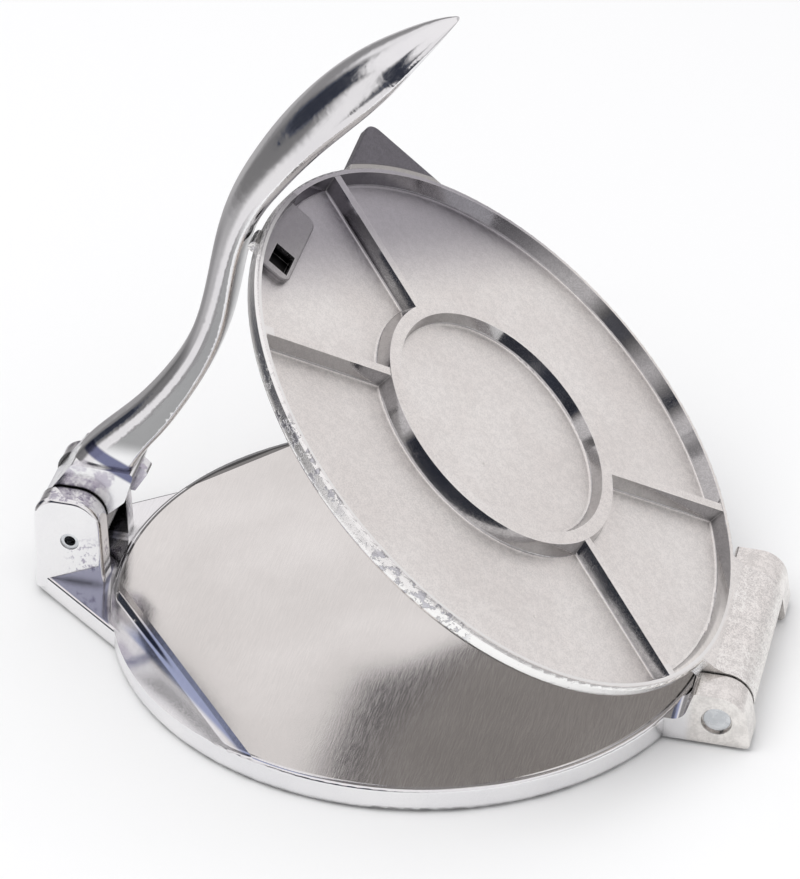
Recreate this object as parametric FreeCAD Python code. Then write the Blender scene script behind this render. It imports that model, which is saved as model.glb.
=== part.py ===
# Tabletop press that flattens balls of dough between two round cast plates.
#
# Lengths are millimetres and angles are degrees. +Z is up, -X is the handle end and +X the
# hinge end. The origin is the centre of the base's underside, on the table. The upper plate
# is drawn closed, lying over the base, and then turned open about the hinge pin, until the
# tongue at its front edge leans on the handle.
import math
import os
import FreeCAD, Part

# Running clearance between a pin and the bore that turns on it, on the radius.
pin_clearance = 0.08
# A pressed pin sits in its seat with this much room, on the radius.
seat_clearance = 0.01
# Every cut runs this far past the face that it opens.
overrun = 2.0

# Base: a round pressing plate with a tapering nose at the handle end. What stands at the
# plate's edge is placed by its offset outside that edge or its inset from it.
base_radius = 82.5
base_thickness = 7.5
base_top_round = 1.0
base_bottom_round = 2.0
nose_half_angle = 37.5
nose_end_beyond = 2.0
nose_apex_beyond = 14.2
nose_corner_round = 9.0
nose_step = 0.6
nose_root_inset = 1.5
# Each polished facet beside the nose starts at a straight crease this far inside the edge.
near_facet_inset = 13.2
near_facet_direction = 220.0
far_facet_inset = 4.0
far_facet_direction = 140.0
facet_slope = 4.0

# Clevis on the nose, which carries the handle's pin between two lugs.
clevis_slot = 17.0
clevis_lug_thickness = 6.5
clevis_front_depth = 10.2
clevis_back_depth = 9.9
clevis_back_lean = 1.5
clevis_height = 33.2
clevis_front_round = 6.5
clevis_back_round = 8.0
clevis_edge_round = 1.3
handle_pin_offset = 10.5
handle_pin_height = 20.0
handle_pin_radius = 2.6
handle_pin_bore = 1.6
handle_pin_recess = 0.4

# Hinge at the back of the base: two lugs, the pin and the upper plate's barrel between them.
hinge_offset = 6.5
closed_gap = 1.0
hinge_pin_radius = 3.6
hinge_pin_recess = 1.0
hinge_bore_mouth = 0.5
hinge_lug_thickness = 9.9
hinge_lug_height = 16.3
hinge_lug_brow_depth = 6.4
hinge_lug_foot_depth = 9.6
hinge_lug_lean = 2.8
hinge_lug_top_round = 8.0
hinge_lug_brow_round = 0.8
hinge_lug_foot_round = 1.5
hinge_ledge_height = 7.2
hinge_ledge_depth = 9.1
hinge_ledge_round = 4.0
hinge_lug_root_depth = 19.0
hinge_lug_bottom = 1.0
barrel_radius = 8.35
barrel_gap = 0.7
arm_width = 47.2
arm_side_gap = 0.45

# Upper plate: a dished casting whose recesses are divided by a ring and four ribs.
plate_margin = 0.5
# The upper plate's centre lies this much nearer the handle than the base's.
plate_setback = 1.3
plate_height = 5.7
plate_lower_round = 3.2
plate_rim_round = 0.8
rim_land = 1.7
rim_wall_slant = 1.6
sector_floor = 1.5
recess_foot_round = 0.9
ring_outer_radius = 38.2
ring_inner_radius = 34.5
ring_outer_slant = 1.5
ring_inner_slant = 1.2
centre_floor = 2.3
rib_height = 5.55
rib_top_width = 2.6
rib_side_slant = 1.3
rib_foot_round = 0.8
rib_direction = 31.8
rib_offset = 4.55
arm_top_height = 7.9
arm_top_inset = 8.0

# Square socket in the front of the upper plate, with the rough pad around it.
hole_inset = 8.2
hole_centre_y = -6.4
hole_length = 6.2
hole_width = 8.8
hole_floor = 0.6
pad_height = 3.6
pad_inner_inset = 12.6
pad_low_y = -13.0
pad_high_y = 17.6
pad_round = 3.0
pad_edge_round = 0.7

# Tongue at the front edge, which leans on the handle.
tongue_low_y = -8.0
tongue_high_y = -2.0
tongue_thickness = 3.0
tongue_lift = 0.4
tongue_reach = 0.9
tongue_round = 1.0

# Corner tab, by which the upper plate is lifted.
tab_inset = 13.4
tab_side_inset = 11.6
tab_corner_round = 3.4
tab_bottom = 1.9
tab_top = 5.5
tab_edge_round = 0.7

# The upper plate leans on the handle at this opening angle.
plate_opening = 39.08

# Handle: a curved lever that grows from a square shank into a leaf-shaped grip.
handle_reach = 100.9
handle_rise = 169.2
shank_depth = 17.0
grip_width = 24.0
# The lever is widest this share of its depth from the inner side, which is nearly flat.
inner_depth_share = 0.22
knuckle_side_gap = 0.5
knuckle_radius = 8.3
knuckle_back_depth = 11.5
knuckle_back_round = 7.0
knuckle_drop = 6.4
knuckle_shoulder_x = 13.6
knuckle_shoulder_z = 10.6
knuckle_top_x = 16.4
knuckle_top_z = 20.2
knuckle_crown_x = -1.0
knuckle_crown_z = 20.6
knuckle_bulge_x = -10.6
knuckle_bulge_z = 6.4
knuckle_bulge_round = 9.0
knuckle_edge_round = 1.2
foot_low_y = 2.6
foot_high_y = 7.4
foot_reach = 17.4
foot_rise = 13.8
foot_thickness = 6.4
# Stations up the handle, from inside the knuckle to the tip. Each row holds the place as
# shares of the handle's reach and rise from the pin, the heading in degrees from +X, the
# depth and the width as shares of the shank's depth and of the grip's width, and how
# square the section is: 2 is an ellipse.
handle_station_shares = [
    (0.045, 0.077, 62.0, 0.96, 0.60, 3.6),
    (0.075, 0.121, 57.0, 0.90, 0.57, 3.6),
    (0.110, 0.152, 53.0, 0.79, 0.56, 3.6),
    (0.161, 0.191, 52.5, 0.68, 0.55, 3.5),
    (0.219, 0.236, 55.0, 0.62, 0.54, 3.4),
    (0.291, 0.305, 61.5, 0.55, 0.54, 3.2),
    (0.348, 0.377, 69.0, 0.52, 0.55, 3.0),
    (0.384, 0.455, 76.0, 0.51, 0.59, 2.8),
    (0.408, 0.534, 75.5, 0.51, 0.66, 2.5),
    (0.443, 0.612, 68.0, 0.57, 0.75, 2.3),
    (0.503, 0.684, 59.5, 0.67, 0.84, 2.2),
    (0.578, 0.751, 53.0, 0.76, 0.93, 2.1),
    (0.662, 0.813, 49.0, 0.82, 1.00, 2.0),
    (0.755, 0.871, 46.0, 0.80, 0.97, 2.0),
    (0.837, 0.918, 43.0, 0.63, 0.84, 2.0),
    (0.909, 0.957, 40.0, 0.40, 0.58, 2.0),
    (0.961, 0.983, 37.0, 0.21, 0.30, 2.0),
    (0.992, 0.997, 34.0, 0.06, 0.09, 2.0),
]
# Points taken round each section.
section_points = 20

# Places worked out from the sizes above.
near_facet_reach = base_radius - near_facet_inset
far_facet_reach = base_radius - far_facet_inset
handle_pin_reach = base_radius + handle_pin_offset
clevis_front_reach = handle_pin_reach + clevis_front_depth
clevis_back_reach = handle_pin_reach - clevis_back_depth
nose_end_reach = clevis_front_reach + nose_end_beyond
nose_apex_reach = nose_end_reach + nose_apex_beyond
hinge_reach = base_radius + hinge_offset
hinge_lug_brow_reach = hinge_reach - hinge_lug_brow_depth
hinge_lug_foot_reach = hinge_reach + hinge_lug_foot_depth
hinge_ledge_reach = hinge_reach - hinge_ledge_depth
hinge_lug_root_reach = hinge_reach - hinge_lug_root_depth
plate_radius = base_radius - plate_margin
arm_top_reach = plate_radius - arm_top_inset
hole_reach = plate_radius - hole_inset
pad_inner_reach = plate_radius - pad_inner_inset
tab_reach = plate_radius - tab_inset
tab_side = plate_radius - tab_side_inset
hinge_height = base_thickness + closed_gap
nose_top = base_thickness - nose_step
hinge_lug_inner = arm_width / 2 + arm_side_gap
hinge_lug_outer = hinge_lug_inner + hinge_lug_thickness
clevis_inner = clevis_slot / 2
clevis_outer = clevis_inner + clevis_lug_thickness
hinge_bore_radius = hinge_pin_radius + pin_clearance
handle_bore_radius = handle_pin_radius + pin_clearance
rim_inner_radius = plate_radius - rim_land
rim_foot_radius = rim_inner_radius - rim_wall_slant
plate_to_hinge = hinge_reach + plate_setback
knuckle_half_width = clevis_inner - knuckle_side_gap


def point(x, y, z):
    return FreeCAD.Vector(x, y, z)


def across(x, z):
    """A point of an outline that stands in the XZ plane."""
    return point(x, 0, z)


def corner(before, at, after, radius):
    """The ends and the arc that round one corner of an outline."""
    back = (before - at).normalize()
    ahead = (after - at).normalize()
    half = back.getAngle(ahead) / 2
    middle = (back + ahead).normalize()
    centre = at + middle * (radius / math.sin(half))
    start = at + back * (radius / math.tan(half))
    end = at + ahead * (radius / math.tan(half))
    arc = Part.Arc(start, centre - middle * radius, end)
    return start, end, arc.toShape()


def rounded_face(corners):
    """A flat face from (point, radius) pairs; a radius of zero leaves the corner sharp."""
    count = len(corners)
    starts = []
    ends = []
    arcs = []
    for i in range(count):
        at, radius = corners[i]
        if radius == 0:
            starts.append(at)
            ends.append(at)
            arcs.append(None)
        else:
            start, end, arc = corner(corners[i - 1][0], at, corners[(i + 1) % count][0], radius)
            starts.append(start)
            ends.append(end)
            arcs.append(arc)
    edges = []
    for i in range(count):
        if arcs[i]:
            edges.append(arcs[i])
        following = starts[(i + 1) % count]
        edges.append(Part.makeLine(ends[i], following))
    return Part.Face(Part.Wire(edges))


def plank(corners, low_y, high_y):
    """An outline in the XZ plane, made solid from low_y to high_y."""
    face = rounded_face([(across(x, z), radius) for x, z, radius in corners])
    face.translate(point(0, low_y, 0))
    return face.extrude(point(0, high_y - low_y, 0))


def slab(corners, low_z, high_z):
    """An outline in plan, made solid from low_z to high_z."""
    face = rounded_face([(point(x, y, 0), radius) for x, y, radius in corners])
    face.translate(point(0, 0, low_z))
    return face.extrude(point(0, 0, high_z - low_z))


def turned(corners):
    """An outline of radii and heights, turned about the upright axis."""
    face = rounded_face([(across(r, z), radius) for r, z, radius in corners])
    return face.revolve(point(0, 0, 0), point(0, 0, 1), 360)


def rod(radius, low_y, high_y, x, z):
    """A round bar along Y through (x, z)."""
    return Part.makeCylinder(radius, high_y - low_y, point(x, low_y, z), point(0, 1, 0))


def disc(radius, low_z, high_z):
    return Part.makeCylinder(radius, high_z - low_z, point(0, 0, low_z))


def mirrored(shape):
    return shape.mirror(point(0, 0, 0), point(0, 1, 0))


def edges_on(shape, test):
    """The edges whose middle point passes the test."""
    found = []
    for edge in shape.Edges:
        middle = edge.valueAt((edge.FirstParameter + edge.LastParameter) / 2)
        if test(middle):
            found.append(edge)
    return found


def facet_cutter(reach, direction):
    """The block above a facet that slopes down and outward from its crease."""
    length = base_radius
    block = Part.makeBox(length, 2 * base_radius, base_thickness, point(0, -base_radius, 0))
    block.rotate(point(0, 0, 0), point(0, 1, 0), facet_slope)
    block.translate(point(reach, 0, base_thickness))
    block.rotate(point(0, 0, 0), point(0, 0, 1), direction)
    return block


def base_disc():
    """The round pressing plate with its rounded edges and its two facets."""
    plate = turned([
        (0, 0, 0),
        (base_radius, 0, base_bottom_round),
        (base_radius, base_thickness, base_top_round),
        (0, base_thickness, 0),
    ])
    near = facet_cutter(near_facet_reach, near_facet_direction)
    far = facet_cutter(far_facet_reach, far_facet_direction)
    return plate.cut([near, far])


def nose():
    """The tapering nose under the clevis, whose top lies a little below the disc's."""
    slope = math.tan(math.radians(nose_half_angle))
    root = -base_radius / 2
    root_half = (nose_apex_reach + root) * slope
    end_half = (nose_apex_reach - nose_end_reach) * slope
    outline = [
        (root, -root_half, 0),
        (-nose_end_reach, -end_half, nose_corner_round),
        (-nose_end_reach, end_half, nose_corner_round),
        (root, root_half, 0),
    ]
    body = slab(outline, 0, nose_top)

    def on_bottom(p):
        return abs(p.z) < seat_clearance and p.x < root - overrun

    def on_top(p):
        return abs(p.z - nose_top) < seat_clearance and p.x < root - overrun

    body = body.makeFillet(base_bottom_round, edges_on(body, on_bottom))
    body = body.makeFillet(base_top_round, edges_on(body, on_top))
    core = disc(base_radius - nose_root_inset, -overrun, base_thickness + overrun)
    return body.cut(core)


def clevis_lug():
    """The lug on the +Y side that holds one end of the handle's pin."""
    outline = [
        (-clevis_front_reach, nose_top / 2, 0),
        (-clevis_front_reach, clevis_height, clevis_front_round),
        (-clevis_back_reach - clevis_back_lean, clevis_height, clevis_back_round),
        (-clevis_back_reach, nose_top / 2, 0),
    ]
    lug = plank(outline, clevis_inner, clevis_outer)

    def on_outer_face(p):
        return abs(p.y - clevis_outer) < seat_clearance and p.z > nose_top

    return lug.makeFillet(clevis_edge_round, edges_on(lug, on_outer_face))


def hinge_lug():
    """The lug on the +Y side of the hinge, with the ledge that ties it to the disc."""
    outline = [
        (hinge_lug_root_reach, hinge_lug_bottom, 0),
        (hinge_lug_foot_reach, hinge_lug_bottom, hinge_lug_foot_round),
        (hinge_lug_foot_reach - hinge_lug_lean, hinge_lug_height, hinge_lug_top_round),
        (hinge_lug_brow_reach, hinge_lug_height, hinge_lug_brow_round),
        (hinge_ledge_reach, hinge_ledge_height, hinge_ledge_round),
        (hinge_lug_root_reach, hinge_ledge_height, 0),
    ]
    lug = plank(outline, hinge_lug_inner, hinge_lug_outer)
    core_depth = base_radius - nose_root_inset
    return lug.cut(disc(core_depth, -overrun, hinge_lug_height))


def bore_mouth():
    """The countersink at the outer end of the hinge bore, on the +Y side."""
    wide = hinge_bore_radius + hinge_bore_mouth
    low = hinge_lug_outer - hinge_pin_recess
    place = point(hinge_reach, low, hinge_height)
    return Part.makeCylinder(wide, hinge_pin_recess + overrun, place, point(0, 1, 0))


def make_base():
    body = base_disc()
    relief = rod(barrel_radius + barrel_gap, -hinge_lug_inner, hinge_lug_inner, hinge_reach, hinge_height)
    body = body.cut(relief)
    lug = clevis_lug()
    hinge = hinge_lug()
    body = body.fuse([nose(), lug, mirrored(lug), hinge, mirrored(hinge)])
    pin_seat = handle_pin_radius + seat_clearance
    far = clevis_outer + overrun
    body = body.cut(rod(pin_seat, -far, far, -handle_pin_reach, handle_pin_height))
    far = hinge_lug_outer + overrun
    body = body.cut(rod(hinge_bore_radius, -far, far, hinge_reach, hinge_height))
    mouth = bore_mouth()
    body = body.cut([mouth, mirrored(mouth)])
    return body.removeSplitter()


def plate_blank():
    """The upper plate's full thickness, before its recesses are cut."""
    return turned([
        (0, 0, 0),
        (plate_radius, 0, plate_lower_round),
        (plate_radius, plate_height, plate_rim_round),
        (0, plate_height, 0),
    ])


def recess_band():
    """The round band of the four recesses, from the ring out to the rim."""
    top = plate_height + overrun
    rise = (top - sector_floor) / (plate_height - sector_floor)
    return turned([
        (ring_outer_radius + ring_outer_slant, sector_floor, recess_foot_round),
        (rim_foot_radius, sector_floor, recess_foot_round),
        (rim_foot_radius + rim_wall_slant * rise, top, 0),
        (ring_outer_radius + ring_outer_slant - ring_outer_slant * rise, top, 0),
    ])


def centre_recess():
    top = plate_height + overrun
    rise = (top - centre_floor) / (plate_height - centre_floor)
    return turned([
        (0, centre_floor, 0),
        (ring_inner_radius - ring_inner_slant, centre_floor, recess_foot_round),
        (ring_inner_radius - ring_inner_slant + ring_inner_slant * rise, top, 0),
        (0, top, 0),
    ])


def rib():
    """One rib between the ring and the rim, in the quarter where X and Y are positive."""
    top_half = rib_top_width / 2
    foot_half = top_half + rib_side_slant
    skirt = foot_half + rib_foot_round * 2
    low = sector_floor - overrun / 2
    outline = [
        (-skirt, low, 0),
        (-skirt, sector_floor, 0),
        (-foot_half, sector_floor, rib_foot_round),
        (-top_half, rib_height, 0),
        (top_half, rib_height, 0),
        (foot_half, sector_floor, rib_foot_round),
        (skirt, sector_floor, 0),
        (skirt, low, 0),
    ]
    face = rounded_face([(point(0, y, z), radius) for y, z, radius in outline])
    inner = (ring_outer_radius + ring_inner_radius) / 2
    outer = (plate_radius + rim_inner_radius) / 2
    start = math.sqrt(inner ** 2 - rib_offset ** 2)
    end = math.sqrt(outer ** 2 - rib_offset ** 2)
    face.translate(point(start, -rib_offset, 0))
    bar = face.extrude(point(end - start, 0, 0))
    bar.rotate(point(0, 0, 0), point(0, 0, 1), rib_direction)
    return bar


def ribs():
    """All four, mirrored about both centre lines."""
    one = rib()
    two = one.mirror(point(0, 0, 0), point(1, 0, 0))
    return [one, two, mirrored(one), mirrored(two)]


def pad():
    """The rough cast pad that thickens the recess floor around the square hole."""
    outer = rim_inner_radius
    outline = [
        (-outer, pad_low_y, 0),
        (-pad_inner_reach, pad_low_y, pad_round),
        (-pad_inner_reach, pad_high_y, pad_round),
        (-outer, pad_high_y, 0),
    ]
    block = slab(outline, sector_floor - overrun / 2, pad_height)

    def on_top(p):
        return abs(p.z - pad_height) < seat_clearance and p.x > -outer + seat_clearance

    block = block.makeFillet(pad_edge_round, edges_on(block, on_top))
    return block.common(disc(rim_inner_radius, 0, plate_height))


def tongue():
    outer = plate_radius + tongue_reach
    root = plate_radius - plate_lower_round
    outline = [
        (-root, tongue_lift, 0),
        (-root, tongue_lift + tongue_thickness, 0),
        (-outer, tongue_lift + tongue_thickness, tongue_round),
        (-outer, tongue_lift, tongue_round),
    ]
    return plank(outline, tongue_low_y, tongue_high_y)


def tab():
    """The square corner that stands out of the round rim."""
    inner = plate_radius / 2
    outline = [
        (-tab_reach, inner, 0),
        (-tab_reach, tab_side, tab_corner_round),
        (-inner, tab_side, 0),
        (-inner, inner, 0),
    ]
    block = slab(outline, tab_bottom, tab_top)

    def on_outer_rims(p):
        flat = abs(p.z - tab_top) < seat_clearance or abs(p.z - tab_bottom) < seat_clearance
        return flat and (p.x < -tab_reach + tab_corner_round or p.y > tab_side - tab_corner_round)

    block = block.makeFillet(tab_edge_round, edges_on(block, on_outer_rims))
    return block.cut(disc(rim_inner_radius + rim_land / 2, 0, plate_height + overrun))


def arm():
    """The broad arm that runs down from the rim to the hinge barrel."""
    outline = [
        (arm_top_reach, 0, 0),
        (arm_top_reach, plate_height, 0),
        (plate_radius, plate_height, 0),
        (plate_to_hinge, arm_top_height, 0),
        (plate_to_hinge, 0, 0),
    ]
    body = plank(outline, -arm_width / 2, arm_width / 2)
    barrel = rod(barrel_radius, -arm_width / 2, arm_width / 2, plate_to_hinge, 0)
    body = body.fuse(barrel)
    return body.cut(disc(rim_inner_radius + rim_land / 2, -barrel_radius, barrel_radius + overrun))


def make_upper_plate():
    body = plate_blank()
    band = recess_band().cut(ribs())
    band = band.cut(pad())
    body = body.cut([band, centre_recess()])
    body = body.fuse([arm(), tongue(), tab()])
    low_y = hole_centre_y - hole_width / 2
    place = point(-hole_reach - hole_length / 2, low_y, hole_floor)
    hole = Part.makeBox(hole_length, hole_width, plate_height + overrun, place)
    far = arm_width / 2 + overrun
    body = body.cut([hole, rod(hinge_bore_radius, -far, far, plate_to_hinge, 0)])
    body = body.removeSplitter()
    body.translate(point(-plate_setback, 0, hinge_height))
    body.rotate(point(hinge_reach, 0, hinge_height), point(0, 1, 0), plate_opening)
    return body


def handle_section(x_share, z_share, heading, depth_share, width_share, squareness):
    """One closed section of the lever, square to its heading."""
    turn = math.radians(heading)
    outward = across(-math.sin(turn), math.cos(turn))
    centre = across(handle_reach * x_share, handle_rise * z_share)
    depth = shank_depth * depth_share
    inner_depth = depth * inner_depth_share
    outer_depth = depth - inner_depth
    half_width = grip_width * width_share / 2
    power = 2 / squareness
    places = []
    for i in range(section_points):
        angle = 2 * math.pi * i / section_points
        c = math.cos(angle)
        s = math.sin(angle)
        rise = outer_depth if c > 0 else -inner_depth
        off = inner_depth - depth / 2 + rise * abs(c) ** power
        side = half_width * math.copysign(abs(s) ** power, s)
        places.append(centre + outward * off + point(0, side, 0))
    curve = Part.BSplineCurve()
    curve.interpolate(Points=places, PeriodicFlag=True)
    return Part.Wire(curve.toShape())


def knuckle():
    """The foot of the lever, which fills the clevis and turns on its pin."""
    outline = [
        (-knuckle_back_depth, -knuckle_drop, knuckle_back_round),
        (knuckle_radius, -knuckle_radius, knuckle_radius),
        (knuckle_radius, knuckle_shoulder_z / 2, 0),
        (knuckle_shoulder_x, knuckle_shoulder_z, knuckle_edge_round),
        (knuckle_top_x, knuckle_top_z, knuckle_edge_round),
        (knuckle_crown_x, knuckle_crown_z, knuckle_edge_round),
        (knuckle_bulge_x, knuckle_bulge_z, knuckle_bulge_round),
    ]
    return plank(outline, -knuckle_half_width, knuckle_half_width)


def pressing_foot():
    """The small foot on the lever's inner side, which bears on the closed plate's edge."""
    outline = [
        (0, foot_rise - foot_thickness, 0),
        (knuckle_shoulder_x, foot_rise - foot_thickness, 0),
        (foot_reach, foot_rise, knuckle_edge_round),
        (knuckle_shoulder_x, foot_rise + foot_thickness / 2, 0),
        (0, foot_rise + foot_thickness / 2, 0),
    ]
    return plank(outline, foot_low_y, foot_high_y)


def make_handle():
    sections = [handle_section(*row) for row in handle_station_shares]
    lever = Part.makeLoft(sections, True, False)
    body = knuckle().fuse([lever, pressing_foot()])
    far = knuckle_half_width + overrun
    body = body.cut(rod(handle_bore_radius, -far, far, 0, 0))
    body = body.removeSplitter()
    body.translate(across(-handle_pin_reach, handle_pin_height))
    return body


def make_hinge_pin():
    end = hinge_lug_outer - hinge_pin_recess
    return rod(hinge_pin_radius, -end, end, hinge_reach, hinge_height)


def make_handle_pin():
    """A hollow pin, pressed into both lugs."""
    end = clevis_outer - handle_pin_recess
    tube = rod(handle_pin_radius, -end, end, -handle_pin_reach, handle_pin_height)
    far = end + overrun
    return tube.cut(rod(handle_pin_bore, -far, far, -handle_pin_reach, handle_pin_height))


nodes = {
    "base_plate": make_base(),
    "upper_plate": make_upper_plate(),
    "handle": make_handle(),
    "hinge_pin": make_hinge_pin(),
    "handle_pin": make_handle_pin(),
}
os.makedirs("parts", exist_ok=True)
for name, shape in nodes.items():
    shape.exportStep("parts/" + name + ".step")
    box = shape.BoundBox
    print(name, shape.isValid(), len(shape.Solids), round(shape.Volume),
          [round(v, 1) for v in (box.XMin, box.XMax, box.YMin, box.YMax, box.ZMin, box.ZMax)])
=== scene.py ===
# %% [markdown]
# # A polished hand press, dressed for its picture
# The construction model already has the right shapes, so this lesson is about light and metal.
# We load the five cast and turned pieces, set the camera where the photographer stood, build a
# white studio for polished metal to mirror, and then give every piece a finish of its own.

# %% Load the construction model
import math
import bpy
import bmesh
from mathutils import Matrix, Vector

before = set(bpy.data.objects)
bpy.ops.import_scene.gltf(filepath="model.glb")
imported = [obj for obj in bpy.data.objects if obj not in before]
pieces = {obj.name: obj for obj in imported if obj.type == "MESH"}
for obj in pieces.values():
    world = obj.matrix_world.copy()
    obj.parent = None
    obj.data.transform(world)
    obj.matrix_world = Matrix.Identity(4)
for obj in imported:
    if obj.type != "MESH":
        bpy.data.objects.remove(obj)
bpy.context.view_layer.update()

print("pieces:", ", ".join(sorted(pieces)))

# %% [markdown]
# ## The camera
# A catalogue photograph of a small object is taken with a long lens from far away, so that the
# round plates stay calm ellipses. We could place the camera by eye, but a few numbers say it
# better: how far round it stands, how high, how it leans, how far off, and where it looks.

# %% Place the camera
camera_round = math.radians(12.38)
camera_height = math.radians(34.73)
camera_lean = math.radians(1.34)
camera_distance = 1.28425
looked_at = Vector((-0.02317, 0.08215, 0.0009))
lens_length = 200.26

towards_camera = Vector((
    math.sin(camera_round) * math.cos(camera_height),
    -math.cos(camera_round) * math.cos(camera_height),
    math.sin(camera_height),
))
level_right = Vector((math.cos(camera_round), math.sin(camera_round), 0))
level_up = towards_camera.cross(level_right)
picture_right = level_right * math.cos(camera_lean) + level_up * math.sin(camera_lean)
picture_up = level_up * math.cos(camera_lean) - level_right * math.sin(camera_lean)

camera_data = bpy.data.cameras.new("camera")
camera_data.lens = lens_length
camera_data.sensor_width = 36
camera_data.sensor_fit = "HORIZONTAL"
camera_data.clip_end = 20
camera = bpy.data.objects.new("camera", camera_data)
camera.matrix_world = Matrix.Translation(looked_at + towards_camera * camera_distance) @ Matrix((
    picture_right,
    picture_up,
    towards_camera,
)).transposed().to_4x4()
scene = bpy.context.scene
scene.collection.objects.link(camera)
scene.camera = camera
scene.view_settings.view_transform = "Standard"
print("camera at", tuple(round(v, 4) for v in camera.location))

# %% [markdown]
# ## Small helpers for node trees
# A finish is a tree of nodes, and most of the typing goes into adding a node and joining its
# sockets. These helpers do both in one line, so each finish below reads like its recipe.

# %% Helpers for node trees
def add(tree, kind, inputs=None, **settings):
    """Adds a node, sets its properties, and fills its inputs with sockets or plain values."""
    made = tree.nodes.new(kind)
    for name, value in settings.items():
        setattr(made, name, value)
    for place, value in (inputs or {}).items():
        if isinstance(value, bpy.types.NodeSocket):
            tree.links.new(value, made.inputs[place])
        else:
            made.inputs[place].default_value = value
    return made


def calc(tree, operation, *values):
    """One sum on numbers or sockets."""
    return add(tree, "ShaderNodeMath", dict(enumerate(values)), operation=operation).outputs[0]


def ramp(tree, value, low, high, start=0.0, end=1.0):
    """A soft step from start to end while value goes from low to high."""
    made = add(tree, "ShaderNodeMapRange", {0: value, 1: low, 2: high, 3: start, 4: end},
               interpolation_type="SMOOTHSTEP")
    return made.outputs[0]


def band(tree, value, low, high, soft):
    """1 between low and high, 0 outside, with soft edges."""
    rise = ramp(tree, value, low - soft, low + soft)
    fall = ramp(tree, value, high - soft, high + soft, 1.0, 0.0)
    return calc(tree, "MULTIPLY", rise, fall)


def both(tree, *masks):
    """Several masks multiplied."""
    total = masks[0]
    for mask in masks[1:]:
        total = calc(tree, "MULTIPLY", total, mask)
    return total


def blend_colours(tree, mask, first, second):
    """first where the mask is 0, second where it is 1."""
    made = add(tree, "ShaderNodeMix", {0: mask, 6: first, 7: second}, data_type="RGBA")
    return made.outputs[2]


def blend_values(tree, mask, first, second):
    """The same for numbers."""
    return add(tree, "ShaderNodeMix", {0: mask, 2: first, 3: second}).outputs[0]


def noise(tree, place, scale, detail=3.0, roughness=0.5, stretch=(1, 1, 1), lean=(0, 0, 0)):
    """Smooth random tone. stretch squeezes the pattern along each axis, lean turns it first."""
    mapped = add(tree, "ShaderNodeMapping", {0: place, 2: lean, 3: stretch})
    made = add(tree, "ShaderNodeTexNoise", {
        "Vector": mapped.outputs[0],
        "Scale": scale,
        "Detail": detail,
        "Roughness": roughness,
    })
    return made.outputs[0]


def scale_colour(tree, colour, factor):
    """A colour made darker or lighter by a factor."""
    return add(tree, "ShaderNodeVectorMath", {0: colour, 3: factor}, operation="SCALE").outputs[0]


def split(tree, vector):
    """The three parts of a vector or a place."""
    return add(tree, "ShaderNodeSeparateXYZ", {0: vector}).outputs


def distance(tree, first, second):
    """How far two steps at a right angle lead."""
    first_squared = calc(tree, "MULTIPLY", first, first)
    second_squared = calc(tree, "MULTIPLY", second, second)
    return calc(tree, "SQRT", calc(tree, "ADD", first_squared, second_squared))


def dot(tree, vector, direction):
    """How far a vector goes along a direction."""
    made = add(tree, "ShaderNodeVectorMath", {0: vector, 1: direction}, operation="DOT_PRODUCT")
    return made.outputs["Value"]


def darken(tree, shade, *zones):
    """Darkens a shade in each zone: pairs of a mask and the share that is kept there."""
    for zone, kept in zones:
        shade = calc(tree, "MULTIPLY", shade, blend_values(tree, zone, 1.0, kept))
    return shade


print("helpers ready")

# %% [markdown]
# ## The studio
# Polished metal has almost no colour of its own: it shows the room. A product photographer
# hangs a white tent over the piece and leaves a few dark openings, whose mirror images draw
# the shapes. We could hang black cards, but the world shader can hold the same room as soft
# patches by direction, it casts no odd shadows, and it stays put when the camera walks round.

# %% Angles in the room
world = bpy.data.worlds.new("studio")
scene.world = world
world.use_nodes = True
room = world.node_tree
room.nodes.clear()
to_right, to_back, to_top = split(room, add(room, "ShaderNodeTexCoord").outputs["Generated"])
to_front = calc(room, "MULTIPLY", to_back, -1.0)
degrees_each = 180 / math.pi
round_angle = calc(room, "MULTIPLY", calc(room, "ARCTAN2", to_right, to_front), degrees_each)
high_angle = calc(room, "MULTIPLY", calc(room, "ARCSINE", to_top), degrees_each)
print("room angles ready")

# %% [markdown]
# The walls of the tent are a little darker than its roof. Each opening is a soft-edged window
# in two angles: 0 round is the photographer's side, -90 the handle's side and 90 the hinge's.
# Overlapping windows make one opening of an uneven shape, as real gaps between sheets are.

# %% Walls, roof and openings

overhead = ramp(room, high_angle, 25.0, 35.0)
tone = blend_values(room, overhead, 0.84, 0.9)


def patch(tone, wall_tone, soft_round, soft_high, left, right, low, high):
    """Darkens the room between two angles round and two angles up."""
    sideways = band(room, round_angle, left, right, soft_round)
    upright = band(room, high_angle, low, high, soft_high)
    return blend_values(room, calc(room, "MULTIPLY", sideways, upright), tone, wall_tone)


openings = (
    # tone, softness round and high, from left to right, from low to high
    (0.45, 16.0, 7.0, 62.0, 135.0, -70.0, 26.0),  # grey wall on the hinge's side
    (0.52, 9.0, 6.0, -172.0, -62.0, -62.0, -14.0),  # table on the handle's side
    (0.44, 7.0, 6.0, -158.0, -58.0, -27.0, 14.0),  # wall over it
    (0.27, 6.0, 4.0, -166.0, -120.0, -9.0, 13.0),  # its darker far end
    (0.19, 8.0, 6.0, -122.0, -53.0, -14.0, 7.0),  # its darker near end
    (0.035, 10.0, 3.0, -116.0, -66.0, 2.0, 27.0),  # black gap over the wall
    (0.06, 5.0, 4.0, -179.0, -156.0, 6.0, 23.0),  # black gap behind
    (0.12, 5.0, 5.0, -29.0, 2.0, -8.0, 27.0),  # dark gap beside the camera
)
for opening in openings:
    tone = patch(tone, *opening)
print("openings:", len(openings))

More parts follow.
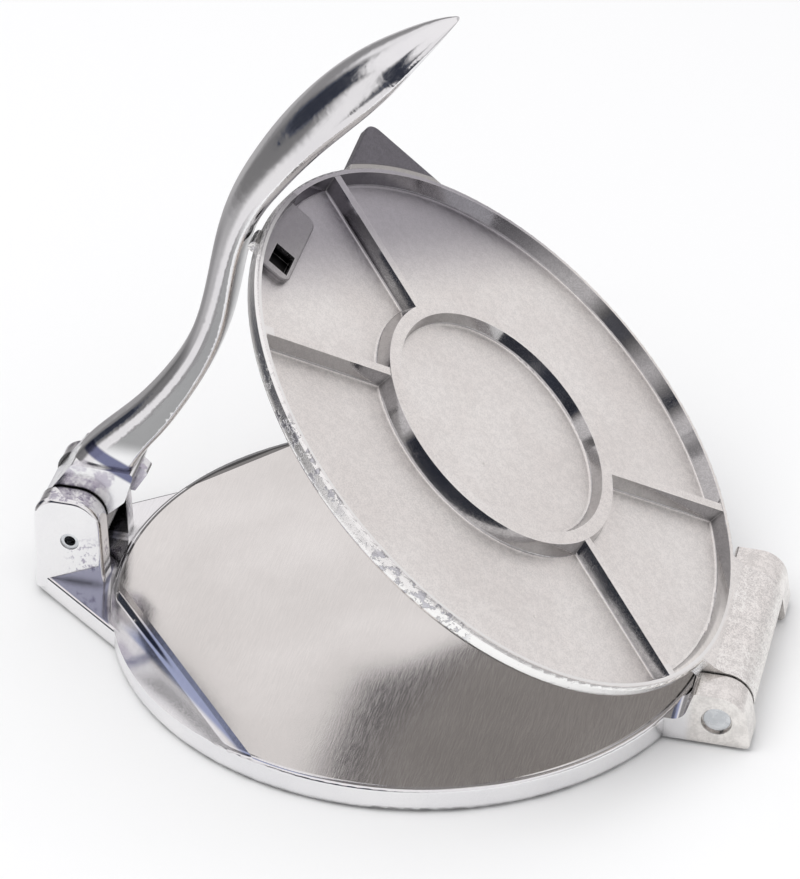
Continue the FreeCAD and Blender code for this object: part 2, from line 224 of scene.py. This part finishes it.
# %% [markdown]
# The photographer in front of the tent mirrors as one slanted dark band. The darkest parts of
# the real room look slightly blue, so dark tones get a cool tint. Only the metal sees this
# room: matt surfaces get plain light from it, and the camera sees plain white.

# %% The photographer's shape, and who sees the room
slope = calc(room, "MULTIPLY_ADD", round_angle, 0.78, high_angle)
in_front = band(room, round_angle, -44.0, 62.0, 6.0)
photographer = both(room, band(room, slope, -12.0, 11.0, 3.0), in_front)
tone = blend_values(room, photographer, tone, 0.035)
cool = ramp(room, tone, 0.04, 0.17)
mirrored_room = blend_colours(room, cool, (0.86, 0.97, 1.4, 1), (1.01, 0.985, 1.0, 1))
mirrored_room = scale_colour(room, mirrored_room, tone)

path = add(room, "ShaderNodeLightPath")
shown = calc(room, "MAXIMUM", path.outputs["Is Camera Ray"], path.outputs["Is Transmission Ray"])
soft_light = blend_colours(room, path.outputs["Is Glossy Ray"], (0.86, 0.86, 0.87, 1), mirrored_room)
room_colour = blend_colours(room, shown, soft_light, (1, 1, 1, 1))
background = add(room, "ShaderNodeBackground", {0: room_colour, 1: 1.0})
add(room, "ShaderNodeOutputWorld", {0: background.outputs[0]})
print("studio:", len(room.nodes), "nodes")

# %% [markdown]
# ## Floor
# The press stands on white paper. A small disc under it takes the soft shadow and shows in the
# mirrors of the metal. A wide sheet around the disc carries the white on to the horizon, and
# the metal doesn't see it, because there the studio's own lower half is what it should mirror.

# %% White paper under the press
def paper(name, inner, outer, height):
    """A flat ring, or a disc when inner is zero."""
    sheet = bmesh.new()
    ring = bmesh.ops.create_circle(sheet, cap_ends=inner == 0, segments=96, radius=outer)
    if inner:
        edges = list({edge for vert in ring["verts"] for edge in vert.link_edges})
        grown = bmesh.ops.extrude_edge_only(sheet, edges=edges)["geom"]
        inside = [part for part in grown if isinstance(part, bmesh.types.BMVert)]
        share = inner / outer
        bmesh.ops.scale(sheet, vec=(share, share, 1), verts=inside)
    bmesh.ops.translate(sheet, vec=(0, 0, height), verts=sheet.verts)
    bmesh.ops.recalc_face_normals(sheet, faces=sheet.faces)
    mesh = bpy.data.meshes.new(name)
    sheet.to_mesh(mesh)
    sheet.free()
    made = bpy.data.objects.new(name, mesh)
    scene.collection.objects.link(made)
    return made


near_radius = 0.17
far_radius = 9.0
paper_height = -0.0002
near_paper = paper("near_paper", 0, near_radius, paper_height)
far_paper = paper("far_paper", near_radius, far_radius, paper_height)
far_paper.visible_glossy = False

white_paper = bpy.data.materials.new("white_paper")
white_paper.use_nodes = True
paper_shader = white_paper.node_tree.nodes["Principled BSDF"]
paper_shader.inputs["Base Color"].default_value = (0.93, 0.93, 0.93, 1)
paper_shader.inputs["Roughness"].default_value = 0.9
paper_shader.inputs["Specular IOR Level"].default_value = 0.0
for sheet in (near_paper, far_paper):
    sheet.data.materials.append(white_paper)
print("paper laid")

# %% [markdown]
# One large soft lamp overhead, on the handle's side, gives the press its shadow. A small lamp
# would draw a hard shadow. The metal doesn't see the lamp, because the room is its mirror image.

# %% Lamp
lamp_data = bpy.data.lights.new("overhead_softbox", "AREA")
lamp_data.shape = "DISK"
lamp_data.size = 1.4
lamp_data.energy = 9.0
lamp = bpy.data.objects.new("overhead_softbox", lamp_data)
lamp_place = Vector((-0.5, -0.6, 1.5))
lamp_turn = lamp_place.to_track_quat("Z", "Y").to_matrix().to_4x4()
lamp.matrix_world = Matrix.Translation(lamp_place) @ lamp_turn
lamp.visible_glossy = False
scene.collection.objects.link(lamp)
print("lamp in place")

# %% [markdown]
# ## Effects that several finishes share
# Cast and polished aluminium repeat the same few marks: sand grain from the mould, fine
# scratches from the wheel, small pits and brighter rubbed edges. Painted shade darkens the corners.
# Each effect is a node group with named inputs, built once, and each casting's finish uses it
# with values of its own.

# %% Start a shader group
def start_group(name, takes, gives):
    """An empty group with its sockets: takes and gives map a name to a kind and a default."""
    group = bpy.data.node_groups.new(name, "ShaderNodeTree")
    for title, (kind, value) in takes.items():
        made = group.interface.new_socket(name=title, in_out="INPUT", socket_type=kind)
        if value is not None:
            made.default_value = value
    for title, kind in gives.items():
        group.interface.new_socket(name=title, in_out="OUTPUT", socket_type=kind)
    return group, group.nodes.new("NodeGroupInput"), group.nodes.new("NodeGroupOutput")


def use(tree, group, **values):
    """Places a group in a tree, with spaces in its socket names written as underscores."""
    made = tree.nodes.new("ShaderNodeGroup")
    made.node_tree = group
    for name, value in values.items():
        place = made.inputs[name.replace("_", " ")]
        if isinstance(value, bpy.types.NodeSocket):
            tree.links.new(value, place)
        else:
            place.default_value = value
    return made


number = "NodeSocketFloat"
arrow = "NodeSocketVector"
print("group helpers ready")

# %% [markdown]
# Molten metal takes the print of the sand that it was poured against: small grains, with
# larger clumps among them. Two sizes of smooth noise, mixed, give both.

# %% Sand grain of the mould
sand_grain, given, result = start_group(
    "sand_grain",
    {"Place": (arrow, None), "Size": (number, 0.0006), "Clumps": (number, 0.5)},
    {"Height": number, "Tone": number},
)
fine_scale = calc(sand_grain, "DIVIDE", 1.0, given.outputs["Size"])
fine = noise(sand_grain, given.outputs["Place"], fine_scale, 4.0, 0.62)
coarse_scale = calc(sand_grain, "MULTIPLY", fine_scale, 0.22)
coarse = noise(sand_grain, given.outputs["Place"], coarse_scale, 3.0, 0.55)
mixed = blend_values(sand_grain, given.outputs["Clumps"], fine, coarse)
sand_grain.links.new(mixed, result.inputs["Height"])
sand_grain.links.new(ramp(sand_grain, mixed, 0.38, 0.62), result.inputs["Tone"])
print("sand_grain:", len(sand_grain.nodes), "nodes")

# %% [markdown]
# A polishing wheel leaves fine lines that all run one way. Noise that is drawn out along one
# axis looks like them, and turning the place first lets each finish choose the way.

# %% Scratches of the polishing wheel
wheel_scratches, given, result = start_group(
    "wheel_scratches",
    {"Place": (arrow, None), "Across": (number, 9000.0), "Turn": (arrow, (0, 0, 0))},
    {"Height": number, "Tone": number},
)
turned = add(wheel_scratches, "ShaderNodeMapping", {0: given.outputs["Place"], 2: given.outputs["Turn"]})
drawn = add(wheel_scratches, "ShaderNodeMapping", {0: turned.outputs[0], 3: (1.0, 0.035, 0.6)})
lines = add(wheel_scratches, "ShaderNodeTexNoise", {
    "Vector": drawn.outputs[0],
    "Scale": given.outputs["Across"],
    "Detail": 2.0,
    "Roughness": 0.7,
})
deep = calc(wheel_scratches, "POWER", lines.outputs[0], 2.0)
wheel_scratches.links.new(deep, result.inputs["Height"])
wheel_scratches.links.new(ramp(wheel_scratches, lines.outputs[0], 0.35, 0.68), result.inputs["Tone"])
print("wheel_scratches:", len(wheel_scratches.nodes), "nodes")

# %% [markdown]
# Gas bubbles leave a few small round pits. Each cell of a cell pattern can hold one at its
# middle. The cell's own random colour decides if it has a pit, and how wide the pit is.

# %% Pits left by the casting
casting_pits, given, result = start_group(
    "casting_pits",
    {"Place": (arrow, None), "Apart": (number, 0.006), "Share": (number, 0.2)},
    {"Depth": number},
)
cells = add(casting_pits, "ShaderNodeTexVoronoi", {
    "Vector": given.outputs["Place"],
    "Scale": calc(casting_pits, "DIVIDE", 1.0, given.outputs["Apart"]),
    "Randomness": 1.0,
})
lot = add(casting_pits, "ShaderNodeSeparateColor", {0: cells.outputs["Color"]})
chosen = calc(casting_pits, "LESS_THAN", lot.outputs[0], given.outputs["Share"])
width = calc(casting_pits, "MULTIPLY_ADD", lot.outputs[1], 0.09, 0.03)
near = calc(casting_pits, "DIVIDE", cells.outputs["Distance"], width)
hollow = ramp(casting_pits, near, 0.3, 1.0, 1.0, 0.0)
casting_pits.links.new(calc(casting_pits, "MULTIPLY", hollow, chosen), result.inputs["Depth"])
print("casting_pits:", len(casting_pits.nodes), "nodes")

# %% [markdown]
# Hands and cloths polish the edges first. Where a slightly rounded copy of the surface turns
# away from the real one there is an edge, and a little noise makes the wear patchy.

# %% Rubbed edges
rubbed_edges, given, result = start_group(
    "rubbed_edges",
    {"Width": (number, 0.0008), "Place": (arrow, None)},
    {"Mask": number},
)
softened = add(rubbed_edges, "ShaderNodeBevel", {"Radius": given.outputs["Width"]}, samples=6)
facing = add(rubbed_edges, "ShaderNodeNewGeometry")
bent = ramp(rubbed_edges, dot(rubbed_edges, softened.outputs[0], facing.outputs["Normal"]), 0.985, 0.8)
wear = noise(rubbed_edges, given.outputs["Place"], 220.0, 4.0, 0.6)
patchy = ramp(rubbed_edges, wear, 0.3, 0.6, 0.35, 1.0)
rubbed_edges.links.new(calc(rubbed_edges, "MULTIPLY", bent, patchy), result.inputs["Mask"])
print("rubbed_edges:", len(rubbed_edges.nodes), "nodes")

# %% [markdown]
# Inner corners get painted shade, unevenly, by how little open sky they see. The share of
# open sky over a point, within a few millimetres, finds these corners.

# %% Painted shade in the inner corners
corner_shade, given, result = start_group(
    "corner_shade",
    {"Reach": (number, 0.004), "Place": (arrow, None)},
    {"Mask": number},
)
open_sky = add(corner_shade, "ShaderNodeAmbientOcclusion", {"Distance": given.outputs["Reach"]},
               samples=6)
shut_in = ramp(corner_shade, open_sky.outputs["AO"], 0.8, 0.3)
uneven_noise = noise(corner_shade, given.outputs["Place"], 300.0, 4.0, 0.65)
uneven = ramp(corner_shade, uneven_noise, 0.3, 0.6, 0.5, 1.0)
corner_shade.links.new(calc(corner_shade, "MULTIPLY", shut_in, uneven), result.inputs["Mask"])
print("corner_shade:", len(corner_shade.nodes), "nodes")

# %% [markdown]
# ## One metal to start from
# All the finishes are bare metal, so they share a start: a Principled shader with full
# metallic, the place on the piece, and a bump that takes the sum of the small heights.

# %% Start a metal
def start_metal(name):
    """A bare metal material with its shader, and the place on the piece."""
    material = bpy.data.materials.new(name)
    material.use_nodes = True
    tree = material.node_tree
    shader = tree.nodes["Principled BSDF"]
    shader.inputs["Metallic"].default_value = 1.0
    place = add(tree, "ShaderNodeTexCoord").outputs["Object"]
    return material, tree, shader, place


def raise_surface(tree, shader, *heights):
    """Adds up pairs of a height socket and its size in metres, and bumps the surface with them."""
    total = None
    for height, size in heights:
        part = calc(tree, "MULTIPLY", height, size)
        total = part if total is None else calc(tree, "ADD", total, part)
    bump = add(tree, "ShaderNodeBump", {"Height": total, "Distance": 1.0, "Strength": 1.0})
    tree.links.new(bump.outputs[0], shader.inputs["Normal"])


print("metal helpers ready")

# %% [markdown]
# ## The base
# The base is one casting with several finishes: a satin pressing face, sanded in long strokes
# away from the viewer, polished sides, nose and lugs, and a raw underside. Separate pieces
# would show seams, so one material picks its finish by place and by the way a surface faces.

# %% Measure on the base
base_metal, tree, shader, place = start_metal("base_metal")
x, y, z = split(tree, place)
facing_x, facing_y, facing_z = split(tree, add(tree, "ShaderNodeTexCoord").outputs["Normal"])
from_middle = distance(tree, x, y)
on_top = band(tree, z, 0.0073, 0.0078, 0.0001)
on_face = both(tree, on_top, ramp(tree, from_middle, 0.0805, 0.0812, 1.0, 0.0))
off_face = calc(tree, "SUBTRACT", 1.0, on_face)
raw = ramp(tree, z, 0.0004, 0.001, 1.0, 0.0)
warm_hinge = ramp(tree, x, 0.08, 0.083)
print("base measures ready")

# %% [markdown]
# The lugs at the handle's end are bright outside; the slot between them and the lugs' backs get painted
# shade.
# A flat triangle on the nose and two facets beside it were polished by hand and mirror other parts of the
# room than the face does.
# Their reflections are painted: dark blue-grey on the nose, darker on the far facet, and a long blue-grey
# lens on the near facet.

# %% Zones of the clevis, the nose and the facets
clevis = both(tree, ramp(tree, x, -0.079, -0.083), ramp(tree, z, 0.009, 0.011))
between_lugs = band(tree, y, -0.0088, 0.0088, 0.0002)
slot = both(tree, ramp(tree, x, -0.07, -0.08), between_lugs, ramp(tree, z, 0.0078, 0.0085))
lug_back = both(tree, clevis, ramp(tree, facing_x, 0.3, 0.8), ramp(tree, z, 0.008, 0.02, 1.0, 0.3))
nose_top = both(
    tree,
    ramp(tree, from_middle, 0.0832, 0.0838),
    ramp(tree, facing_z, 0.9, 0.99),
    ramp(tree, z, 0.0078, 0.0082, 1.0, 0.0),
    ramp(tree, x, 0.0, -0.01),
    ramp(tree, y, 0.0, -0.008),
)
facet = both(tree, ramp(tree, facing_x, -0.02, -0.035), ramp(tree, facing_z, 0.9, 0.95))
far_facet = both(tree, facet, ramp(tree, y, 0.005, 0.015))
near_facet = both(tree, facet, ramp(tree, y, -0.005, -0.015))
facet_depth = calc(tree, "ADD", calc(tree, "MULTIPLY", x, -0.78), calc(tree, "MULTIPLY", y, -0.62))
facet_run = calc(tree, "ADD", calc(tree, "MULTIPLY", x, 0.62), calc(tree, "MULTIPLY", y, -0.78))
lens_edge = calc(tree, "MULTIPLY_ADD", facet_run, 0.12, facet_depth)
inside_lens = ramp(tree, lens_edge, 0.0738, 0.0754, 1.0, 0.0)
lens = both(tree, near_facet, inside_lens, ramp(tree, facet_run, -0.024, -0.012))
print("base zones ready")

# %% [markdown]
# Small marks come next: grain, strokes, pits and rubbed edges from the shared effects, painted
# corner shade, and dark spots low on the lug and on its top, where the casting skin was left.

# %% Marks on the base
grain = use(tree, sand_grain, Place=place, Size=0.0007)
strokes = use(tree, wheel_scratches, Place=place, Across=5200.0)
wheel = use(tree, wheel_scratches, Place=place, Across=7000.0, Turn=(0.4, 0.9, 1.2))
pits = use(tree, casting_pits, Place=place, Apart=0.0055, Share=0.16)
edges = use(tree, rubbed_edges, Width=0.0007, Place=place)
corner_shade_mask = use(tree, corner_shade, Place=place, Reach=0.005)
cloudy = noise(tree, place, 26.0, 4.0, 0.55)
lug_wear = both(tree, clevis, ramp(tree, z, 0.017, 0.024, 1.0, 0.0), ramp(tree, x, -0.096, -0.09))
spots = ramp(tree, noise(tree, place, 520.0, 4.0, 0.7), 0.53, 0.6)
spotted = both(tree, spots, calc(tree, "MAXIMUM", lug_wear, ramp(tree, facing_z, 0.6, 0.9)))
blotches = ramp(tree, noise(tree, place, 210.0, 4.0, 0.65), 0.52, 0.62)
mottle = both(tree, blotches, clevis, ramp(tree, facing_z, 0.2, 0.6), 0.7)
dark_marks = calc(tree, "MAXIMUM", mottle, both(tree, spotted, clevis, 0.8))
print("base marks ready")

# %% [markdown]
# The face is a warm grey and the polished sides are nearly white. The zones are laid over them one
# by one, and last the whole colour is scaled down by painted shade in the slot, on the lug backs, on the
# far facet and in the corners, and by the grain and the strokes.

# %% Colour of the base
face_cloud = ramp(tree, cloudy, 0.3, 0.7)
side_cloud = ramp(tree, cloudy, 0.35, 0.65)
face_tone = blend_colours(tree, face_cloud, (0.74, 0.715, 0.69, 1), (0.83, 0.805, 0.78, 1))
side_tone = blend_colours(tree, side_cloud, (0.84, 0.835, 0.85, 1), (0.9, 0.895, 0.9, 1))
colour = blend_colours(tree, on_face, side_tone, face_tone)
for zone, laid_over in (
    (calc(tree, "MULTIPLY", edges.outputs["Mask"], 0.6), (0.93, 0.93, 0.93, 1)),
    (dark_marks, (0.36, 0.33, 0.42, 1)),
    # painted reflections: the blue-grey lens on the near facet and the dark blue-grey nose triangle
    (both(tree, lens, 0.85), (0.27, 0.32, 0.52, 1)),
    (nose_top, (0.36, 0.37, 0.47, 1)),
    (both(tree, warm_hinge, off_face), (0.86, 0.83, 0.8, 1)),
):
    colour = blend_colours(tree, zone, colour, laid_over)
# painted shade in the inner corners off the face
shade = blend_values(tree, both(tree, corner_shade_mask.outputs["Mask"], off_face), 1.0, 0.22)
grainy = ramp(tree, grain.outputs["Tone"], 0.0, 1.0, 0.86, 1.04)
# painted shade in the slot and on the lug backs, a painted dark reflection on the far facet, real grain
# on the hinge end
shade = darken(tree, shade, (slot, 0.22), (lug_back, 0.45), (far_facet, 0.3), (warm_hinge, grainy))
shade = calc(tree, "MULTIPLY", shade, ramp(tree, strokes.outputs["Tone"], 0.0, 1.0, 0.96, 1.02))
tree.links.new(scale_colour(tree, colour, shade), shader.inputs["Base Color"])
print("base colour ready")

# %% [markdown]
# Roughness and relief follow the same zones. The real face isn't quite flat, and its mirror
# image bends, so a slow swell towards the viewer is added to the relief of the face.

# %% Roughness and relief of the base
face_rough = ramp(tree, strokes.outputs["Tone"], 0.0, 1.0, 0.12, 0.19)
side_rough = ramp(tree, wheel.outputs["Tone"], 0.0, 1.0, 0.07, 0.16)
rough = blend_values(tree, on_face, side_rough, face_rough)
rough = blend_values(tree, raw, rough, 0.55)
rough = calc(tree, "ADD", rough, calc(tree, "MULTIPLY", warm_hinge, 0.12))
tree.links.new(rough, shader.inputs["Roughness"])
raise_surface(
    tree, shader,
    (both(tree, strokes.outputs["Height"], on_face), 0.000008),
    (both(tree, ramp(tree, y, -0.084, -0.012), on_face), 0.0023),
    (both(tree, wheel.outputs["Height"], off_face), 0.000001),
    (both(tree, grain.outputs["Height"], raw), 0.0003),
    (both(tree, pits.outputs["Depth"], off_face), -0.0002),
    (both(tree, noise(tree, place, 45.0, 1.0), off_face), 0.00007),
)
print("base_metal:", len(tree.nodes), "nodes")

# %% [markdown]
# ## The upper plate
# This casting is dished: flat satin floors lie between a rim, a ring and four ribs, whose
# sides were milled bright. It leans open, so plain height says nothing here. We measure along
# the plate's own square-on direction instead, from the hinge, and choose the finish by that.

# %% Measure on the leaning plate
hinge = (0.089, 0, 0.0085)
plate_angle = math.radians(39.08)
plate_up = (math.sin(plate_angle), 0, math.cos(plate_angle))
plate_out = (-math.cos(plate_angle), 0, math.sin(plate_angle))
hinge_to_middle = 0.0903

upper_metal, tree, shader, place = start_metal("upper_metal")
from_hinge = add(tree, "ShaderNodeVectorMath", {0: place, 1: hinge}, operation="SUBTRACT").outputs[0]
above = dot(tree, from_hinge, plate_up)
out = calc(tree, "SUBTRACT", dot(tree, from_hinge, plate_out), hinge_to_middle)
across = split(tree, place)[1]
from_middle = distance(tree, out, across)
level = dot(tree, add(tree, "ShaderNodeTexCoord").outputs["Normal"], plate_up)
print("plate measures ready")

# %% [markdown]
# The floors were left as cast, the walls and the rim were milled, and the pressing side is
# smooth. The land round the square socket kept a rough, darker skin, and the corner tab a rough skin.

# %% Zones of the upper plate
inside_rim = ramp(tree, from_middle, 0.0812, 0.082, 1.0, 0.0)
under = ramp(tree, level, -0.3, -0.6)
wall = both(tree, band(tree, level, -0.3, 0.72, 0.06), inside_rim)
at_rim = band(tree, from_middle, 0.0795, 0.0836, 0.0002)
rim_edge = both(tree, band(tree, level, -0.5, 0.9, 0.05), at_rim)
rim_top = both(tree, band(tree, from_middle, 0.0772, 0.0812, 0.0002), ramp(tree, above, 0.0052, 0.0058))
towards_tip = calc(tree, "MULTIPLY_ADD", across, 0.7, out)
tab = both(
    tree,
    ramp(tree, from_middle, 0.083, 0.0834),
    ramp(tree, across, 0.004, 0.006),
    ramp(tree, out, 0.02, 0.022),
)
arm = ramp(tree, out, -0.0812, -0.0822)
socket = both(
    tree,
    band(tree, out, 0.0704, 0.0772, 0.0001),
    band(tree, across, -0.0111, -0.0017, 0.0001),
    ramp(tree, above, 0.0018, 0.0024, 1.0, 0.0),
)
rough_land = both(
    tree,
    ramp(tree, out, 0.0652, 0.0662),
    band(tree, across, -0.0145, 0.018, 0.0004),
    ramp(tree, above, 0.0024, 0.003),
)
milled = calc(tree, "MAXIMUM", wall, rim_edge)
print("upper plate zones ready")

# %% [markdown]
# The milling cutter chattered along the near rim and left short dark cuts in groups. Fine
# noise gives the cuts, and coarse noise the gaps between the groups.

# %% Marks on the upper plate
grain = use(tree, sand_grain, Place=place, Size=0.00042, Clumps=0.3)
wheel = use(tree, wheel_scratches, Place=place, Across=6000.0, Turn=(0.2, 1.1, 0.5))
pits = use(tree, casting_pits, Place=place, Apart=0.007, Share=0.12)
edges = use(tree, rubbed_edges, Width=0.0005, Place=place)
corner_shade_mask = use(tree, corner_shade, Place=place, Reach=0.0035)
cloudy = noise(tree, place, 30.0, 4.0, 0.6)
near_side = ramp(tree, across, 0.02, -0.02)
chatter_cuts = ramp(tree, noise(tree, place, 430.0, 4.0, 0.65), 0.53, 0.58)
chatter_gaps = ramp(tree, noise(tree, place, 40.0, 3.0, 0.6), 0.45, 0.58)
chatter = both(tree, rim_edge, near_side, chatter_gaps, ramp(tree, out, -0.058, -0.045))
print("upper plate marks ready")

# %% [markdown]
# The floors are a warm light grey; painted shade darkens them and tints them mauve towards the top
# of the leaning plate. The grain shows as a fine speckle, stronger on the tab and on the hinge arm.

# %% Colour of the upper plate
satin_cloud = ramp(tree, cloudy, 0.3, 0.7)
bright_cloud = ramp(tree, cloudy, 0.35, 0.65)
satin_tone = blend_colours(tree, satin_cloud, (0.89, 0.855, 0.825, 1), (0.97, 0.945, 0.915, 1))
bright_tone = blend_colours(tree, bright_cloud, (0.84, 0.82, 0.82, 1), (0.92, 0.905, 0.9, 1))
colour = blend_colours(tree, milled, satin_tone, bright_tone)
# painted shade tint: mauve towards the tip and on the tab
mauve = calc(tree, "MAXIMUM", tab, ramp(tree, towards_tip, 0.05, 0.085, 0.0, 0.7))
inside_or_tab = calc(tree, "MAXIMUM", inside_rim, tab)
colour = blend_colours(tree, both(tree, mauve, inside_or_tab), colour, (0.86, 0.82, 0.92, 1))
fine_speckle = ramp(tree, grain.outputs["Tone"], 0.0, 1.0, 0.87, 1.04)
strong_speckle = ramp(tree, grain.outputs["Tone"], 0.0, 1.0, 0.72, 1.08)
speckle = blend_values(tree, calc(tree, "MAXIMUM", tab, arm), fine_speckle, strong_speckle)
# painted shade: darker towards the tip; the speckle is grain
shade = both(tree, ramp(tree, towards_tip, 0.048, 0.08, 1.0, 0.5), speckle)
# painted shade on the tab, the walls, the nearly black socket and the inner corners; the rough land is
# darker skin
shade = darken(
    tree, shade,
    (tab, 0.44), (rough_land, 0.8), (wall, 0.6), (socket, 0.05), (corner_shade_mask.outputs["Mask"], 0.3),
)
colour = scale_colour(tree, colour, shade)
# painted highlight: the rim's top and edge are lighter on the near side only
bright_rim = both(tree, calc(tree, "MAXIMUM", rim_top, rim_edge), near_side)
for zone, laid_over in (
    (calc(tree, "MULTIPLY", edges.outputs["Mask"], 0.5), (0.95, 0.94, 0.93, 1)),
    (bright_rim, (0.97, 0.965, 0.95, 1)),
    (both(tree, chatter, chatter_cuts, 0.6), (0.36, 0.36, 0.43, 1)),
):
    colour = blend_colours(tree, zone, colour, laid_over)
tree.links.new(colour, shader.inputs["Base Color"])
print("upper plate colour ready")

# %% [markdown]
# Milled walls mirror sharply and cast floors only softly. The grain stands up on the floors,
# and four times as high on the rough land and the tab.

# %% Roughness and relief of the upper plate
satin_rough = ramp(tree, grain.outputs["Tone"], 0.0, 1.0, 0.3, 0.44)
bright_rough = ramp(tree, wheel.outputs["Tone"], 0.0, 1.0, 0.05, 0.13)
rough = blend_values(tree, milled, satin_rough, bright_rough)
rough = blend_values(tree, under, rough, 0.13)
tree.links.new(rough, shader.inputs["Roughness"])
as_cast = calc(tree, "SUBTRACT", 1.0, calc(tree, "MAXIMUM", wall, under))
above_side = calc(tree, "SUBTRACT", 1.0, under)
raise_surface(
    tree, shader,
    (both(tree, grain.outputs["Height"], as_cast), 0.00012),
    (both(tree, grain.outputs["Height"], calc(tree, "MAXIMUM", rough_land, tab)), 0.0004),
    (both(tree, pits.outputs["Depth"], above_side), -0.00015),
    (both(tree, chatter_cuts, chatter), 0.0003),
    (noise(tree, place, 40.0, 2.0), 0.00005),
)
print("upper_metal:", len(tree.nodes), "nodes")

# %% [markdown]
# ## The handle
# The lever was buffed on a wheel until it mirrors, so its finish is nearly smooth: faint
# scratches, a slow swell in the surface that makes reflections flow, and a few pits low down.

# %% Zones of the handle
lever_metal, tree, shader, place = start_metal("lever_metal")
x, y, z = split(tree, place)
facing_x, facing_y, facing_z = split(tree, add(tree, "ShaderNodeTexCoord").outputs["Normal"])
low_down = ramp(tree, z, 0.03, 0.055, 1.0, 0.0)
shank = ramp(tree, z, 0.115, 0.135, 1.0, 0.0)
above_knuckle = ramp(tree, z, 0.044, 0.05)
inner_face = ramp(tree, facing_x, 0.75, 0.95)
sideways = band(tree, calc(tree, "ABSOLUTE", facing_y), 0.985, 1.1, 0.006)
# darker along a thin line where the shank faces straight sideways
sideways_line = both(tree, sideways, shank, above_knuckle)
outer_face = both(tree, ramp(tree, facing_x, -0.55, -0.85), shank)
root_height = calc(tree, "MULTIPLY_ADD", calc(tree, "ADD", x, 0.086), 0.5, z)
near_side = ramp(tree, facing_y, -0.3, -0.6)
root_band = both(tree, band(tree, root_height, 0.0415, 0.0458, 0.0006), near_side)
print("handle zones ready")

# %% [markdown]
# The knuckle kept some of its blotchy casting skin, and a narrow blue-grey band, a painted reflection,
# crosses the near side where the shank begins. The shank gets painted shade on its inner and outer faces,
# and is darker along a thin line where it faces straight sideways.

# %% Marks and colour of the handle
wheel = use(tree, wheel_scratches, Place=place, Across=3500.0, Turn=(-1.5708, 0.0, 0.593))
pits = use(tree, casting_pits, Place=place, Apart=0.006, Share=0.12)
edges = use(tree, rubbed_edges, Width=0.0006, Place=place)
corner_shade_mask = use(tree, corner_shade, Place=place, Reach=0.004)
cloud = ramp(tree, noise(tree, place, 24.0, 4.0, 0.6), 0.35, 0.65)
on_knuckle = ramp(tree, z, 0.038, 0.043, 1.0, 0.0)
mottle = both(tree, ramp(tree, noise(tree, place, 190.0, 4.0, 0.65), 0.47, 0.6), on_knuckle)
colour = blend_colours(tree, cloud, (0.85, 0.85, 0.865, 1), (0.91, 0.91, 0.915, 1))
for zone, laid_over in (
    (calc(tree, "MULTIPLY", edges.outputs["Mask"], 0.6), (0.94, 0.94, 0.94, 1)),
    (calc(tree, "MULTIPLY", mottle, 0.7), (0.42, 0.38, 0.48, 1)),
    # painted reflection: the blue-grey band on the near side
    (root_band, (0.18, 0.19, 0.3, 1)),
):
    colour = blend_colours(tree, zone, colour, laid_over)
# painted shade on the inner and outer faces and in the corners; a darker line where the shank faces
# sideways
shade = blend_values(tree, inner_face, 1.0, 0.2)
shade = darken(tree, shade, (sideways_line, 0.4), (outer_face, 0.6), (corner_shade_mask.outputs["Mask"], 0.25))
tree.links.new(scale_colour(tree, colour, shade), shader.inputs["Base Color"])
print("handle colour ready")

# %% [markdown]
# The scratches are so shallow that they only soften the reflections a little. The slow swell
# matters more, because it makes the long reflections wander as they do on a hand-held piece.

# %% Roughness and relief of the handle
rough = ramp(tree, wheel.outputs["Tone"], 0.0, 1.0, 0.09, 0.16)
rough = calc(tree, "ADD", rough, calc(tree, "MULTIPLY", low_down, 0.07))
tree.links.new(rough, shader.inputs["Roughness"])
raise_surface(
    tree, shader,
    (wheel.outputs["Height"], 0.000002),
    (both(tree, pits.outputs["Depth"], low_down), -0.0002),
    (noise(tree, place, 38.0, 1.0), 0.00008),
)
print("lever_metal:", len(tree.nodes), "nodes")

# %% [markdown]
# ## The pins
# Both pins are plain steel: turned rings on the ends, a cooler grey than the aluminium, and
# a dull film where grease has dried. The rings follow the distance from each pin's own line.

# %% Finish of the pins
def pin_finish(name, line_x, line_z):
    """Steel with turning rings around the line at line_x and line_z."""
    rings_scale = 26000.0
    material, tree, shader, place = start_metal(name)
    x, y, z = split(tree, place)
    off_line = distance(tree, calc(tree, "SUBTRACT", x, line_x), calc(tree, "SUBTRACT", z, line_z))
    rings = calc(tree, "SINE", calc(tree, "MULTIPLY", off_line, rings_scale))
    film = noise(tree, place, 320.0, 4.0, 0.6)
    colour = blend_colours(tree, ramp(tree, film, 0.35, 0.65), (0.6, 0.62, 0.64, 1), (0.78, 0.8, 0.82, 1))
    tree.links.new(colour, shader.inputs["Base Color"])
    tree.links.new(ramp(tree, film, 0.3, 0.7, 0.22, 0.4), shader.inputs["Roughness"])
    raise_surface(tree, shader, (rings, 0.000006), (film, 0.00006))
    return material


hinge_pin_steel = pin_finish("hinge_pin_steel", line_x=0.089, line_z=0.0085)
handle_pin_steel = pin_finish("handle_pin_steel", line_x=-0.093, line_z=0.02)
print("pin finishes ready")

# %% [markdown]
# ## Dress the pieces
# A piece from the construction model keeps its mesh. Only the material in its slot changes.

# %% Put the finishes on
dress = {
    "base_plate": base_metal,
    "upper_plate": upper_metal,
    "handle": lever_metal,
    "hinge_pin": hinge_pin_steel,
    "handle_pin": handle_pin_steel,
}
for name, finish in dress.items():
    for place in pieces[name].material_slots:
        place.material = finish
    print(name, "wears", finish.name)
